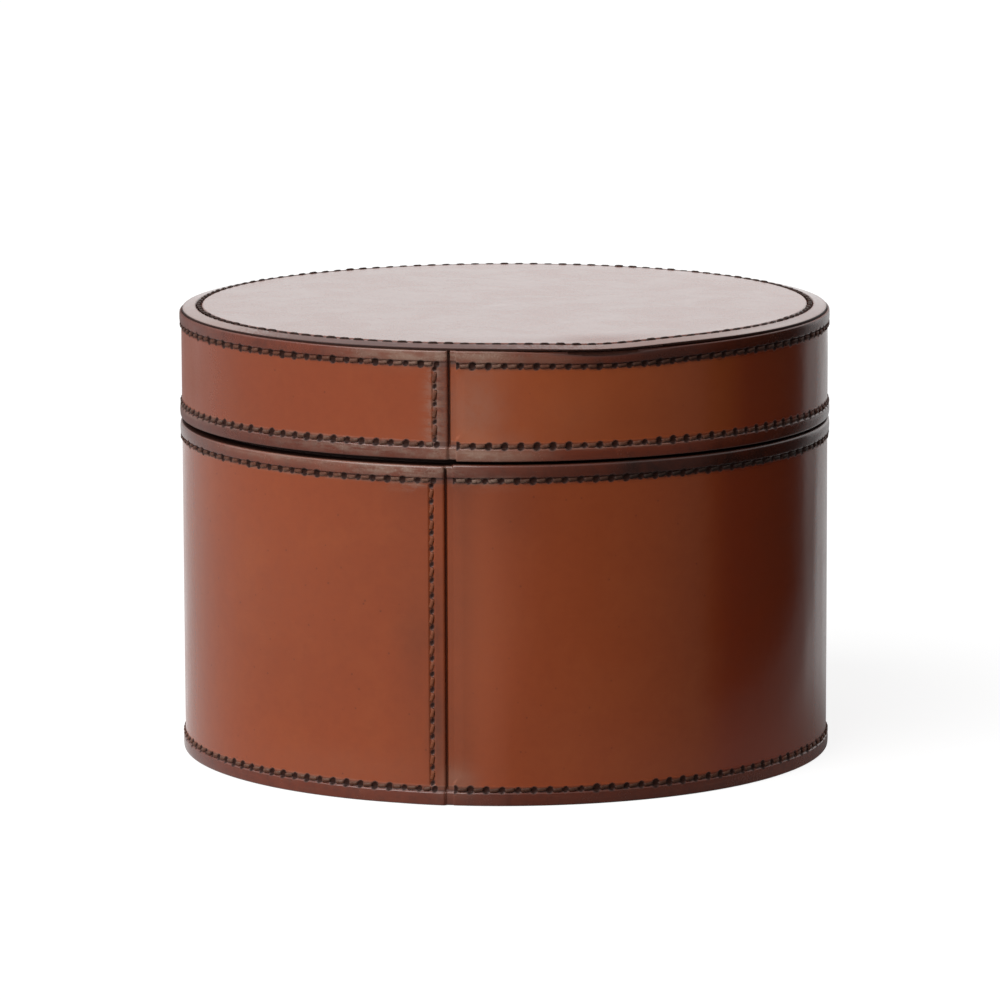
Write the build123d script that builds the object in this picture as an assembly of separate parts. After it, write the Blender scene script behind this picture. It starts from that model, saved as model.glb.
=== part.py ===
from build123d import *
import math
import os

# Round stitched leather stationery box with a lift-off lid, in millimetres.
# The frame is +Z up, with its origin at the centre of the flat foot. The front is -Y.
# Angles go about +Z from the front, positive towards +X.

# ---------------------------------------------------------------- driving sizes
# outside
panel_radius = 100.0         # outside of the side panels
body_height = 103.0          # foot to rim of the body
lid_side_height = 33.2       # side of the lid, below its top leather
lid_rest_gap = 0.3           # between the two rims when the lid is down

# leather, boards and hoops
side_leather = 1.6           # wraps of body and lid
disc_leather = 1.8           # top and base discs
lining_leather = 0.65        # linings and collar cover
board_thickness = 3.0        # base board and top board
body_hoop_wall = 4.4         # core hoop of the body
collar_wall = 1.6            # collar hoop
glue_line = 0.05             # between glued pieces

# collar that locates the lid
collar_rise = 9.0            # collar hoop above the rim
cover_tuck = 12.0            # collar cover below the rim
cover_turn = 6.0             # collar cover turned down inside
lid_clearance = 0.5          # lid lining to collar cover

# margins: the strips between the edges and the stitch rows, doubled behind
margin_rise = 0.5            # margin above the panel
rim_round = 0.8              # broken edge at the two rims
edge_break = 0.5             # broken edge elsewhere
top_inset = 0.8              # edge of the top leather inside the margin

# stitches
thread_diameter = 1.1
stitch_pitch = 4.76          # hole to hole
stitch_run = 3.9             # length of one stitch over the leather
stitch_slant = 8.0           # degrees from the row
groove_width = 2.1           # channel that a row lies in
groove_depth = 0.6           # from the margin's face, or from a disc's face
groove_draft = 0.25          # slope of the channel's walls, as a width
base_groove_depth = 1.35     # deeper, so that no stitch reaches the table
thread_seat = 0.04           # thread to channel
rim_row_inset = 5.0          # row from the edge, at both rims
foot_row_inset = 4.8         # row above the foot
shoulder_row_inset = 4.2     # row below the lid's top leather
ring_inset = 5.2             # stitch ring from a disc's edge

# lapped upright seams
body_seam_angle = -10.35
lid_seam_angle = -9.7        # the lid sits turned a little on the body
lap_rise = 0.45              # over-end above the panel at its cut edge
lap_reach = 14.0             # arc over which the over-end swells up
seam_gap_width = 1.15        # dark groove right of the cut edge
seam_gap_depth = 0.8
seam_row_inset = 3.9         # upright row left of the cut edge
seam_groove_width = 1.8
seam_groove_depth = 0.4
seam_slant = 14.0            # degrees of an upright stitch from the vertical
row_start = 5.0              # first stitch of a row, right of the cut edge
row_end = 5.6                # last stitch of a row, left of the cut edge

# ---------------------------------------------------------------- derived sizes
margin_radius = panel_radius + margin_rise
wrap_inner = panel_radius - side_leather
top_radius = margin_radius - top_inset
base_radius = wrap_inner - glue_line

body_hoop_outer = wrap_inner - glue_line
body_hoop_inner = body_hoop_outer - body_hoop_wall
collar_outer = body_hoop_inner - glue_line
collar_inner = collar_outer - collar_wall
cover_inner = collar_outer + glue_line
cover_outer = cover_inner + lining_leather
lining_outer = collar_inner - glue_line
lining_inner = lining_outer - lining_leather

lid_lining_inner = cover_outer + lid_clearance
lid_lining_outer = lid_lining_inner + lining_leather
lid_hoop_inner = lid_lining_outer + glue_line
lid_hoop_outer = wrap_inner - glue_line

floor_z = disc_leather + board_thickness
collar_top = body_height + collar_rise
lining_top = collar_top - cover_turn
lid_edge = body_height + lid_rest_gap
lid_shoulder = lid_edge + lid_side_height
lid_top = lid_shoulder + disc_leather
lid_ceiling = lid_shoulder - board_thickness

foot_row = foot_row_inset
body_rim_row = body_height - rim_row_inset
lid_rim_row = lid_edge + rim_row_inset
shoulder_row = lid_shoulder - shoulder_row_inset

# The over-end of a wrap swells on a smaller circle, which meets the panel at lap_reach.
lap_radius = 1 / (1 / (panel_radius + lap_rise) + 2 * lap_rise / lap_reach**2)
lap_shift = panel_radius + lap_rise - lap_radius


# ---------------------------------------------------------------- helpers
def turned(points, arc=360.0):
    """A closed outline of (radius, height) points turned about Z, from angle 0 of +X."""
    outline = make_face(Polyline(*[(r, 0, z) for r, z in points], close=True))
    return revolve(outline, Axis.Z, arc)


def ring(inner, outer, low, high):
    """A round hoop or lining."""
    return turned([(inner, low), (outer, low), (outer, high), (inner, high)])


def plate(outer, low, high):
    """A round board or lining disc."""
    return turned([(0, low), (outer, low), (outer, high), (0, high)])


def at_front(piece, angle):
    """A piece made about +X, moved to an angle from the front."""
    return Rot(0, 0, angle - 90) * piece


def row_channel(radius, row_z, margin_side):
    """Outline points, going up, of the channel where a margin meets the panel.

    margin_side is -1 where the margin lies below the row, and 1 where it lies above.
    """
    half = groove_width / 2
    face = radius + margin_rise
    floor_radius = face - groove_depth
    low_face, high_face = (face, radius) if margin_side < 0 else (radius, face)
    return [
        (low_face, row_z - half),
        (floor_radius, row_z - half + groove_draft),
        (floor_radius, row_z + half - groove_draft),
        (high_face, row_z + half),
    ]


# ---------------------------------------------------------------- side wraps
def outside_line(radius, low, high, low_row, high_row, low_round, high_round):
    """Outer outline of a wrap, going up: margin, row, panel, row, margin."""
    face = radius + margin_rise
    points = [(face - low_round, low), (face, low + low_round)]
    points += row_channel(radius, low_row, -1)
    points += row_channel(radius, high_row, 1)
    points += [(face, high - high_round), (face - high_round, high)]
    return points


def lapped_wrap(inner_line, low, high, low_row, high_row, low_round, high_round):
    """A side leather whose over-end laps its under-end at angle 0 of +X.

    The over-end comes from -Y and ends at the cut edge. A groove lies past the edge,
    and an upright channel for the seam's stitches lies before it.
    """
    heights = (low, high, low_row, high_row, low_round, high_round)
    wrap = turned(inner_line + outside_line(panel_radius, *heights))

    # over-end, swelling towards the cut edge
    lap_arc = math.degrees(math.asin(lap_reach / lap_radius)) * 1.08
    lap_core = lap_radius - side_leather + lap_rise
    lap_line = [(lap_core, high), (lap_core, low)] + outside_line(lap_radius, *heights)
    lap = turned(lap_line, lap_arc)
    wrap += Pos(lap_shift, 0, 0) * Rot(0, 0, -lap_arc) * lap

    # groove past the cut edge
    gap_floor = panel_radius - seam_gap_depth
    gap_top = margin_radius + 2 * lap_rise + 1
    gap_outline = Polyline(
        (gap_floor, 0),
        (gap_floor, seam_gap_width / 2),
        (margin_radius + lap_rise, seam_gap_width),
        (gap_top, seam_gap_width),
        (gap_top, 0),
        close=True,
    )
    wrap -= Pos(0, 0, low - 1) * extrude(make_face(gap_outline), high - low + 2)

    # upright stitch channel
    channel = Pos(seam_channel_radius(), 0, (low_row + high_row) / 2) * Box(
        gap_top - panel_radius,
        seam_groove_width,
        high_row - low_row,
        align=(Align.MIN, Align.CENTER, Align.CENTER),
    )
    return wrap - Rot(0, 0, -seam_row_turn()) * channel


def seam_row_turn():
    """Degrees from the cut edge to the upright row."""
    return math.degrees(seam_row_inset / panel_radius)


def lap_height(arc):
    """How far the over-end stands above the panel, at an arc length before its edge."""
    if arc < 0 or arc > lap_reach:
        return 0.0
    return lap_rise * (1 - (arc / lap_reach) ** 2)


def seam_channel_radius():
    """Radius of the floor of the upright stitch channel."""
    return panel_radius + lap_height(seam_row_inset) - seam_groove_depth


def body_side_wrap():
    flange_inner = cover_outer + glue_line
    under_flange = body_height - side_leather
    inner_line = [
        (flange_inner, body_height),
        (flange_inner, under_flange),
        (wrap_inner, under_flange),
        (wrap_inner, 0),
    ]
    wrap = lapped_wrap(
        inner_line, 0, body_height, foot_row, body_rim_row, edge_break, rim_round
    )
    return at_front(wrap, body_seam_angle)


def lid_side_wrap():
    over_flange = lid_edge + side_leather
    inner_line = [
        (wrap_inner, lid_shoulder),
        (wrap_inner, over_flange),
        (lid_hoop_inner, over_flange),
        (lid_hoop_inner, lid_edge),
    ]
    wrap = lapped_wrap(
        inner_line, lid_edge, lid_shoulder, lid_rim_row, shoulder_row, rim_round, edge_break
    )
    return at_front(wrap, lid_seam_angle)


# ---------------------------------------------------------------- discs
def disc_channel(disc_radius, surface_z, depth):
    """Outline points of a disc's stitch channel, going outwards."""
    ring_radius = disc_radius - ring_inset
    half = groove_width / 2
    return [
        (ring_radius - half, surface_z),
        (ring_radius - half + groove_draft, surface_z - depth),
        (ring_radius + half - groove_draft, surface_z - depth),
        (ring_radius + half, surface_z),
    ]


def lid_top_leather():
    points = [(0, lid_shoulder), (0, lid_top)]
    points += disc_channel(top_radius, lid_top, groove_depth)
    points += [(top_radius - edge_break, lid_top), (top_radius, lid_top - edge_break)]
    points += [(top_radius, lid_shoulder)]
    return turned(points)


def base_leather():
    points = [(0, disc_leather), (0, 0)]
    points += disc_channel(base_radius, 0, -base_groove_depth)
    points += [(base_radius, 0), (base_radius, disc_leather)]
    return turned(points)


# ---------------------------------------------------------------- hoops and boards
def body_core_hoop():
    top = body_height - side_leather - glue_line
    rebate_inner = cover_outer + glue_line
    rebate_floor = body_height - cover_tuck - glue_line
    return turned(
        [
            (body_hoop_inner, disc_leather),
            (body_hoop_outer, disc_leather),
            (body_hoop_outer, top),
            (rebate_inner, top),
            (rebate_inner, rebate_floor),
            (body_hoop_inner, rebate_floor),
        ]
    )


def base_board():
    return plate(collar_outer, disc_leather, floor_z)


def collar_hoop():
    return ring(collar_inner, collar_outer, floor_z, collar_top)


def collar_cover():
    under = collar_top + glue_line
    top = under + lining_leather
    turned_inner = lining_outer - lining_leather
    turned_end = lining_top + glue_line
    c = lining_leather / 2
    return turned(
        [
            (cover_inner, body_height - cover_tuck),
            (cover_outer, body_height - cover_tuck),
            (cover_outer, top - c),
            (cover_outer - c, top),
            (turned_inner + c, top),
            (turned_inner, top - c),
            (turned_inner, turned_end),
            (lining_outer, turned_end),
            (lining_outer, under),
            (cover_inner, under),
        ]
    )


def lid_core_hoop():
    low = lid_edge + side_leather + glue_line
    return ring(lid_hoop_inner, lid_hoop_outer, low, lid_shoulder)


def lid_top_board():
    return plate(lid_hoop_inner - glue_line, lid_ceiling, lid_shoulder)


# ---------------------------------------------------------------- linings
def body_wall_lining():
    return ring(lining_inner, lining_outer, floor_z, lining_top)


def body_floor_lining():
    return plate(lining_inner - glue_line, floor_z, floor_z + lining_leather)


def lid_wall_lining():
    return ring(lid_lining_inner, lid_lining_outer, lid_edge + edge_break, lid_ceiling)


def lid_top_lining():
    return plate(lid_lining_inner - glue_line, lid_ceiling - lining_leather, lid_ceiling)


# ---------------------------------------------------------------- stitches
def stitch():
    """One stitch along Y: a round thread with rounded ends."""
    r = thread_diameter / 2
    straight = stitch_run / 2 - r
    half_outline = Polyline((0, -straight - r), (0, straight + r))
    half_outline += RadiusArc((0, straight + r), (r, straight), r)
    half_outline += Line((r, straight), (r, -straight))
    half_outline += RadiusArc((r, -straight), (0, -straight - r), r)
    return revolve(make_face(half_outline), Axis.Y, 360)


def row_thread(seam_angle, row_z):
    """The stitches of a side row, from right of the seam round to left of it."""
    one = stitch()
    seat = margin_radius - groove_depth + thread_seat + thread_diameter / 2
    run = 2 * math.pi * panel_radius - row_start - row_end
    gaps = round(run / stitch_pitch)
    stitches = []
    for i in range(gaps + 1):
        arc = row_start + run * i / gaps
        arc_before_edge = 2 * math.pi * panel_radius - arc
        radius = seat + lap_height(arc_before_edge - stitch_run / 2)
        turn = math.degrees(arc / panel_radius)
        place = Rot(0, 0, turn) * Pos(radius, 0, row_z) * Rot(stitch_slant, 0, 0)
        stitches.append(place * one)
    return at_front(Compound(stitches), seam_angle)


def seam_thread(seam_angle, low_row, high_row):
    """The stitches of an upright seam, between its two side rows."""
    one = stitch()
    seat = seam_channel_radius() + thread_seat + thread_diameter / 2
    span = high_row - low_row - 2 * groove_width
    gaps = max(round((span - stitch_run) / stitch_pitch), 1)
    low = low_row + groove_width + stitch_run / 2
    step = (span - stitch_run) / gaps
    stitches = []
    for i in range(gaps + 1):
        place = Rot(0, 0, -seam_row_turn()) * Pos(seat, 0, low + step * i)
        stitches.append(place * Rot(90 - seam_slant, 0, 0) * one)
    return at_front(Compound(stitches), seam_angle)


def ring_thread(disc_radius, height, slant):
    """The stitches of a ring on a disc, with their middles at a height."""
    one = stitch()
    ring_radius = disc_radius - ring_inset
    count = round(2 * math.pi * ring_radius / stitch_pitch)
    stitches = []
    for i in range(count):
        turn = 360 * (i + 0.5) / count
        place = Rot(0, 0, turn) * Pos(ring_radius, 0, height) * Rot(0, 0, slant)
        stitches.append(place * one)
    return Compound(stitches)


def lid_top_thread():
    middle = lid_top - groove_depth + thread_seat + thread_diameter / 2
    return ring_thread(top_radius, middle, stitch_slant)


def base_ring_thread():
    middle = base_groove_depth - thread_seat - thread_diameter / 2
    return ring_thread(base_radius, middle, -stitch_slant)


# ---------------------------------------------------------------- build and export
nodes = {
    "body_side_wrap": body_side_wrap(),
    "body_core_hoop": body_core_hoop(),
    "base_board": base_board(),
    "base_leather": base_leather(),
    "collar_hoop": collar_hoop(),
    "collar_cover": collar_cover(),
    "body_wall_lining": body_wall_lining(),
    "body_floor_lining": body_floor_lining(),
    "body_rim_thread": row_thread(body_seam_angle, body_rim_row),
    "body_foot_thread": row_thread(body_seam_angle, foot_row),
    "body_seam_thread": seam_thread(body_seam_angle, foot_row, body_rim_row),
    "base_ring_thread": base_ring_thread(),
    "lid_top_leather": lid_top_leather(),
    "lid_top_board": lid_top_board(),
    "lid_core_hoop": lid_core_hoop(),
    "lid_side_wrap": lid_side_wrap(),
    "lid_wall_lining": lid_wall_lining(),
    "lid_top_lining": lid_top_lining(),
    "lid_top_thread": lid_top_thread(),
    "lid_shoulder_thread": row_thread(lid_seam_angle, shoulder_row),
    "lid_rim_thread": row_thread(lid_seam_angle, lid_rim_row),
    "lid_seam_thread": seam_thread(lid_seam_angle, lid_rim_row, shoulder_row),
}

os.makedirs("parts", exist_ok=True)
for name, piece in nodes.items():
    export_step(piece, f"parts/{name}.step")
    print(f"{name}: {len(piece.solids())} solids, {piece.volume / 1000:.2f} cm3")
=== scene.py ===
import math

import bpy
import numpy as np
from mathutils import Matrix


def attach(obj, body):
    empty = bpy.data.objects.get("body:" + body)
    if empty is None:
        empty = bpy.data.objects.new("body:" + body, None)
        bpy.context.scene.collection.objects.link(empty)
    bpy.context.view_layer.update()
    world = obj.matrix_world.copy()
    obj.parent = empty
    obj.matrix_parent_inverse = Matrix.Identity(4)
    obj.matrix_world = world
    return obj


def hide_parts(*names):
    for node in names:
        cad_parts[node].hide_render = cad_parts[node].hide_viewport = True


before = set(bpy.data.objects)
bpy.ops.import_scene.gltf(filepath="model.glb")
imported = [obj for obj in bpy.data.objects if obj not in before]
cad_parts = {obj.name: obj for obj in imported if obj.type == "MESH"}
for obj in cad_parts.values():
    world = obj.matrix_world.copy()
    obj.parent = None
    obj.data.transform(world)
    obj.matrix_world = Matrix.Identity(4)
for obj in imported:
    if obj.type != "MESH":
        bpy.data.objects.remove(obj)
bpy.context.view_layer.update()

# ---- sizes, in millimetres
MM = 0.001  # the scene is in metres
PANEL = 100.0  # radius of the side panels
MARGIN = 100.5  # radius of the margins
MARGIN_STEP = 0.36  # between the points up a margin
WRAP_IN = 98.4  # inner face of the side leathers
TOP_R = 99.7  # top leather
BASE_R = 98.35  # base leather
TURN = 2 * math.pi * PANEL
BODY_TOP = 103.0
LID_EDGE = 103.3
SHOULDER = 136.5
LID_TOP = 138.3
FOOT_ROW = 4.8
BODY_ROW = 98.0
LID_ROW = 108.3
SHOULDER_ROW = 132.3
TOP_RING = 94.5
BASE_RING = 93.15
COLLAR_TOP = 112.0  # top of the collar hoop
CEILING = 133.5  # underside of the lid's board
BODY_SEAM = -10.35  # degrees from the front, positive towards +X
LID_SEAM = -9.7
LAP_RISE = 0.45
LAP_REACH = 14.0
SEAM_ROW = 3.9  # upright row, before the cut edge
ROW_START = 5.0
ROW_END = 5.6
STITCHES = 131  # in a side row
HOLE_STEP = 4.76  # from hole to hole, as counted in the photo
STITCH = 3.9  # length of an upright stitch on the face
STITCH_PART = 0.93  # a stitch's length as a part of its pitch
UPRIGHT_GAP = 2.1  # from a side row to the upright row
THREAD = 0.44  # radius of the thread
CHANNEL = 0.45  # depth of a channel below the margin's face
HALF_ROW = 0.7  # half the flat width of a side row's channel
UPRIGHT_DEPTH = 0.4
TURNED_IN = 97.6  # inside this radius a wrap has no marks or relief
GROOVE_FLOOR = PANEL - 1.25

PITCH = (TURN - ROW_START - ROW_END) / (STITCHES - 1)
CELL_START = ROW_START - PITCH / 2
FINE = 12  # fine columns to a stitch
COARSE = 4  # fine columns to a coarse one
SEAM_FINE = 18  # fine columns of the last stitch before a seam

# the masks that a mesh gives to its material, in their order
# the fourth mask is painted shade: it darkens the colour where less light falls
MASKS = ("burnish", "dark", "wear", "tone", "pale", "red", "lift", "matt")
BURNISH, DARK, WEAR, PAINTED_SHADE, PALE, RED = range(6)


def rise(x, start=0.0, width=1.0):
    """0 up to the start, 1 past the width, smooth between."""
    x = np.clip((x - start) / width, 0, 1)
    return x * x * (3 - 2 * x)


def bell(x, middle, reach):
    return np.exp(-(((x - middle) / reach) ** 2))


def most(first, *others):
    """The largest of several arrays at each point."""
    for x in others:
        first = np.maximum(first, x)
    return first


def short_way(t, arc=0.0):
    """From an arc to t, the shorter way round."""
    return (t - arc + TURN / 2) % TURN - TURN / 2


def waves(seed, size, low=1, high=6):
    """A smooth random line that closes after one turn."""
    rng = np.random.default_rng(seed)
    k = np.arange(low, high + 1)
    amp = rng.normal(0, 1, k.size) / np.sqrt(k)
    amp *= size / np.sqrt((amp**2).sum() / 2)
    phase = rng.uniform(0, 2 * math.pi, k.size)

    def line(t):
        a = 2 * math.pi * np.asarray(t, float)[..., None] / TURN
        return (amp * np.sin(a * k + phase)).sum(-1)

    return line


# ---- meshes
def grid_faces(grid):
    corners = grid[:-1, :-1], grid[:-1, 1:], grid[1:, 1:], grid[1:, :-1]
    return np.stack(corners, -1).reshape(-1, 4).tolist()


def closed(grid):
    return np.concatenate([grid, grid[:, :1]], 1)


class Shell:
    """Points with their masks, and faces, of one mesh."""

    def __init__(self):
        self.xyz, self.flat, self.masks, self.faces, self.count = [], [], [], [], 0

    def add(self, xyz, flat=None, masks=None):
        """Adds points and returns their numbers. flat is where they lie on the flat leather."""
        shape = xyz.shape[:-1]
        n = int(np.prod(shape))
        self.xyz.append(xyz.reshape(n, 3))
        self.flat.append((xyz if flat is None else flat).reshape(n, 3))
        self.masks.append(np.zeros((n, len(MASKS))) if masks is None else masks.reshape(n, -1))
        self.count += n
        return np.arange(self.count - n, self.count).reshape(shape)

    def quads(self, grid):
        self.faces += grid_faces(grid)

    def zip(self, a, ta, b, tb):
        """Joins two lines of points with different spacing. a runs with b to its left."""
        i = j = 0
        while i < len(a) - 1 or j < len(b) - 1:
            if j == len(b) - 1 or (i < len(a) - 1 and ta[i + 1] - tb[j] <= tb[j + 1] - ta[i]):
                self.faces.append([int(a[i]), int(a[i + 1]), int(b[j])])
                i += 1
            else:
                self.faces.append([int(a[i]), int(b[j + 1]), int(b[j])])
                j += 1

    def fan(self, ring, centre):
        self.faces += [[int(a), int(b), int(centre)] for a, b in zip(ring, ring[1:])]

    def build(self, name, body, node, slot, material, dye_and_shade_material=None, limit=0.995, border=None):
        """Makes the piece, which rides on a body and takes the place of a CAD node.

        Faces darker than the limit take the dark material, which is dye on cut edges and painted
        shade in the stitch holes and in the gap between lid and body; reddened ones of a
        burnished border take the border's.
        """
        mesh = bpy.data.meshes.new(name)
        mesh.from_pydata((np.concatenate(self.xyz) * MM).tolist(), [], self.faces)
        flat = mesh.attributes.new("flat", "FLOAT_VECTOR", "POINT")
        flat.data.foreach_set("vector", np.concatenate(self.flat).astype(np.float32).ravel())
        masks = np.concatenate(self.masks)
        for k, mask in enumerate(MASKS):
            layer = mesh.attributes.new(mask, "FLOAT", "POINT")
            layer.data.foreach_set("value", masks[:, k].astype(np.float32))
        mesh.polygons.foreach_set("use_smooth", np.ones(len(mesh.polygons), bool))
        mesh.update()
        piece = add_object(name, mesh)
        mesh.materials.append(material)
        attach(piece, body)
        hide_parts(node)
        if dye_and_shade_material is not None:
            mesh.materials.append(dye_and_shade_material)
            sizes = np.array([len(face) for face in self.faces])
            corners = np.concatenate([np.asarray(face) for face in self.faces])
            starts = np.concatenate([[0], np.cumsum(sizes)[:-1]])
            lowest = np.minimum.reduceat(masks[corners], starts)
            kinds = (lowest[:, DARK] > limit).astype(int)
            if border is not None:
                mesh.materials.append(border)
                chance = np.random.default_rng(4).uniform(0, 1, len(self.faces))
                kinds[(kinds == 0) & (lowest[:, BURNISH] > 0.97) & (chance < lowest[:, RED])] = 2
            mesh.polygons.foreach_set("material_index", kinds)


def add_object(name, data):
    thing = bpy.data.objects.new(name, data)
    bpy.context.scene.collection.objects.link(thing)
    return thing


def on_side(t, radius, z, seam):
    """Points from arc t past a seam, radius and height."""
    a = t / PANEL + math.radians(seam - 90)
    return np.stack(np.broadcast_arrays(radius * np.cos(a), radius * np.sin(a), z), -1)


# ---- side wraps
def seam_columns():
    """Arcs of the fine columns, from the first stitch cell round to it again."""
    cells = [CELL_START + PITCH * (i + np.arange(FINE) / FINE) for i in range(STITCHES - 1)]
    last = CELL_START + PITCH * (STITCHES - 1)
    cells.append(last + PITCH * np.arange(SEAM_FINE) / SEAM_FINE)
    end = TURN - (ROW_END - PITCH / 2)
    cells.append(np.arange(end, TURN - 1.0, 0.26))
    near_edge = [
        -0.8, -0.6, -0.44, -0.3, -0.19, -0.1, -0.04, 0.0, 0.03, 0.07, 0.12, 0.3, 0.46, 0.56,
        0.66, 0.76, 0.88, 1.02, 1.2, 1.45, 1.75, 2.1, 2.4, CELL_START,
    ]
    cells.append(TURN + np.array(near_edge))
    return np.concatenate(cells), (STITCHES - 1) * FINE


class Wrap:
    """The outer face of a side leather: its heights, rows and hand-made drift."""

    def __init__(self, knots, seam, drift, groove_ends, strip, lip, shades_and_redness, spots, seed):
        self.knots = self.low, self.low_row, self.high_row, self.high = knots
        self.seam, self.drift, self.groove_ends = seam, drift, groove_ends
        self.strip, self.lip, self.spots = strip, lip, spots
        self.low_tone, self.high_tone, self.panel_tone, self.red = (along(seam, s) for s in shades_and_redness)
        self.flutes = waves(seed + 50, 0.01, 25, 70)
        self.bulge = waves(seed, 0.05, 2, 9)
        span = self.high_row - self.low_row - 2 * UPRIGHT_GAP - STITCH
        gaps = round(span / HOLE_STEP)
        self.seam_step = span / gaps
        first = self.low_row + UPRIGHT_GAP + STITCH / 2
        self.seam_stitches = first + self.seam_step * np.arange(gaps + 1)
        self.seam_holes = first + self.seam_step * (np.arange(gaps + 2) - 0.5)
        rng = np.random.default_rng(seed)
        rows = (self.low_row, self.high_row)
        self.hole_sizes = {row: rng.uniform(0.8, 1.15, STITCHES + 1) for row in rows}

    def shift(self, t, z0):
        """How far the leather lies above its true height."""
        lines = [d(t) for d in self.drift]
        out = np.zeros(np.broadcast(t, z0).shape) + lines[0]
        for k in range(3):
            f = (z0 - self.knots[k]) / (self.knots[k + 1] - self.knots[k])
            out = out + np.clip(f, 0, 1) * (lines[k + 1] - lines[k])
        return out

    def lap(self, t):
        """How far the leather swells over the lap before the cut edge."""
        before = TURN - t
        swell = LAP_RISE * (1 - (np.clip(before, 0, LAP_REACH) / LAP_REACH) ** 2)
        return np.where((before > -0.13) & (before < LAP_REACH), swell, 0.0)

    def groove(self, t, z0):
        """1 in the groove past the cut edge, 0 beside it."""
        past = t - TURN
        inside = np.where(past < 0.3, rise(past / 0.12), 1 - rise(past, 0.35, 0.55))
        inside = np.where(past < 0, 0, inside)
        fade_in, (end, fade) = self.groove_ends
        return inside * (rise(z0, *fade_in) * rise(-z0, -end, fade))

    def holes(self, t, z0):
        """Depth of the stitch holes, and their painted shade."""
        depth = dark = np.zeros(np.broadcast(t, z0).shape)
        cell = np.round((t - CELL_START) / PITCH)
        near = t - (CELL_START + cell * PITCH)
        number = np.clip(cell, 0, STITCHES).astype(int)
        valid = (cell >= 0) & (cell <= STITCHES) & (t < TURN - 2.4)    # none on the cut edge
        for row, sizes in self.hole_sizes.items():
            size = sizes[number]
            dz = z0 - row
            oval = ((near - 0.12 * dz) / (0.86 * size)) ** 2 + (dz / (0.9 * size)) ** 2
            depth = np.maximum(depth, valid * np.exp(-(oval**2)))
            dark = np.maximum(dark, valid * np.exp(-((oval / 2.3) ** 4)))
        ds = t - (TURN - SEAM_ROW)
        for z in self.seam_holes:
            dz = z0 - z
            oval = ((ds - 0.2 * dz) / 0.62) ** 2 + (dz / 0.8) ** 2
            depth = np.maximum(depth, np.exp(-(oval**2)))
            dark = np.maximum(dark, np.exp(-((oval / 1.6) ** 2)))
        return depth, dark

    def face(self, t, z0, r0):
        """Radius of the outer face, and the masks there."""
        past = t - TURN
        low_d, high_d = z0 - self.low_row, z0 - self.high_row
        # a channel falls gently from the panel and steeply from the margin
        in_low = 1 - rise((np.abs(low_d) - HALF_ROW) / np.where(low_d > 0, 0.75, 0.35))
        in_high = 1 - rise((np.abs(high_d) - HALF_ROW) / np.where(high_d < 0, 0.75, 0.35))
        channel = np.maximum(in_low, in_high)
        margin = np.maximum(1 - rise(low_d, -0.5, 0.9), rise(high_d, -0.4, 0.9))
        upright = 1 - rise(np.abs(past + SEAM_ROW), 0.62, 0.35)
        upright = upright * rise(low_d, 0.9, 0.8) * rise(-high_d, 0.9, 0.8)
        radius = r0 - channel * (r0 - (MARGIN - CHANNEL))
        radius = radius + self.lap(t) - UPRIGHT_DEPTH * upright
        middle = np.sin(math.pi * (z0 - self.low) / (self.high - self.low))
        radius = radius + (self.bulge(t) + self.flutes(t)) * middle
        hole, hole_dark = self.holes(t, z0)
        radius = radius - 0.22 * hole
        # the cut edge is rounded, and falls into the groove
        before = np.clip(-past, 0, 0.8)
        rounded = 0.4 * (1 - np.sqrt(1 - (1 - before / 0.8) ** 2))
        radius = radius - rounded * (past > -0.8)
        g = self.groove(t, z0)
        radius = radius * (1 - g) + GROOVE_FLOOR * g
        # masks
        strip = self.strip * rise(past + SEAM_ROW, -0.5, 0.9) * (past < 0.3)
        beside = (past >= 0.3) * (1 - rise(past, 1.2, 1.0)) * 0.5 * self.strip
        burnish = most(margin, strip, beside)
        lip_z, lip_r = self.lip
        # painted shade: the channels, the upright row, the holes and the rim faces in the gap
        # between lid and body are darkened; the groove past the cut edge is partly dark edge dye
        # and partly painted shade, and the top and bottom edges are darker with dye
        dark = most(
            0.5 * channel,
            (0.12 + 0.3 * self.strip) * upright,
            hole_dark,
            (0.5 + 0.14 * rise(z0, 25, 50)) * g,
            self.spot("dark", t, z0),
            0.35 * (1 - rise(np.minimum(z0 - self.low, self.high - z0) / 0.5)),
            0.95 * (abs(z0 - lip_z) < 0.81) * rise((lip_r - r0) / 0.3),
        )
        panel = 1 - margin
        # painted shade: margins and panels darker where less light falls, most on the right and
        # under the lid
        tone = np.where(z0 < (self.low + self.high) / 2, self.low_tone(t), self.high_tone(t))
        tone = most(tone * margin, (self.panel_tone(t) + self.spot("tone", t, z0)) * panel)
        red = self.red(t) * panel
        kinds = ("wear", "pale", "lift", "matt")
        wear, pale, lift, matt = (self.spot(kind, t, z0) for kind in kinds)
        masks = burnish, dark, wear, tone, pale, red, lift, matt
        return radius, np.stack(np.broadcast_arrays(*masks), -1)

    def spot(self, kind, t, z0):
        """Soft spots, each (arc past the seam, height, reach along, reach up, size)."""
        out = np.zeros(np.broadcast(t, z0).shape)
        for arc, z, wide, tall, size in self.spots.get(kind, ()):
            out = np.maximum(out, size * bell(short_way(t, arc), 0, wide) * bell(z0, z, tall))
        return out


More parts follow.
